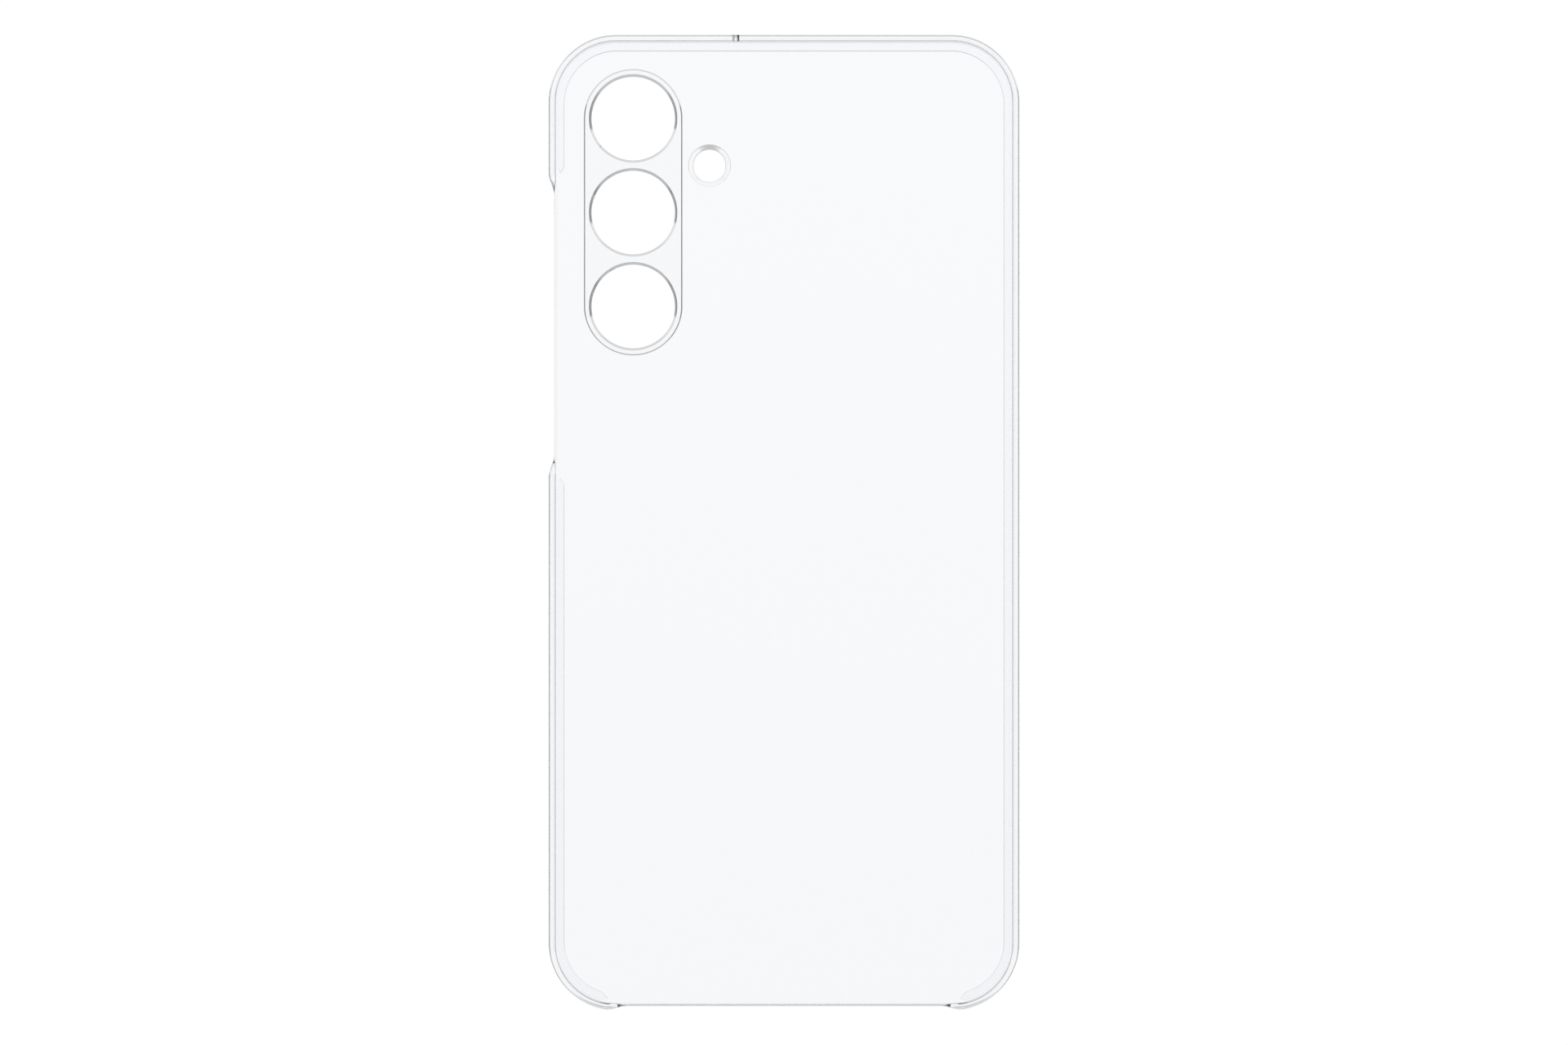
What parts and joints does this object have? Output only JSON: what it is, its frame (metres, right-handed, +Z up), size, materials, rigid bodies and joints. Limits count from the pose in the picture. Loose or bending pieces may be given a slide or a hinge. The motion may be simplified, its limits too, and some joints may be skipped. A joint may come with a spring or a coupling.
{
  "type": "phone case",
  "caption": "Clear hard-shell phone case with a raised slot-shaped camera plate, a flash opening, open side and base cut-outs and an inward lip that holds the phone.",
  "frame": {"origin": "middle of the lower end of the upright case, on the surface that it stands on", "axes": "+Z up the height towards the camera end, +Y from the outer back towards the open front, +X to the right as seen from outside the back"},
  "size_m": [0.0792, 0.0106, 0.164],
  "materials": {
    "clear_back": "clear hard plastic, polished outside, with a fine dot pattern moulded inside",
    "clear_wall": "clear hard plastic, polished",
    "clear_camera_plate": "clear hard plastic, polished, slightly greyer than the back"
  },
  "bodies": {
    "root": {"back_shell": "clear_back", "main_band": "clear_wall", "lower_left_band": "clear_wall", "camera_plate": "clear_camera_plate"}
  },
  "joints": []
}
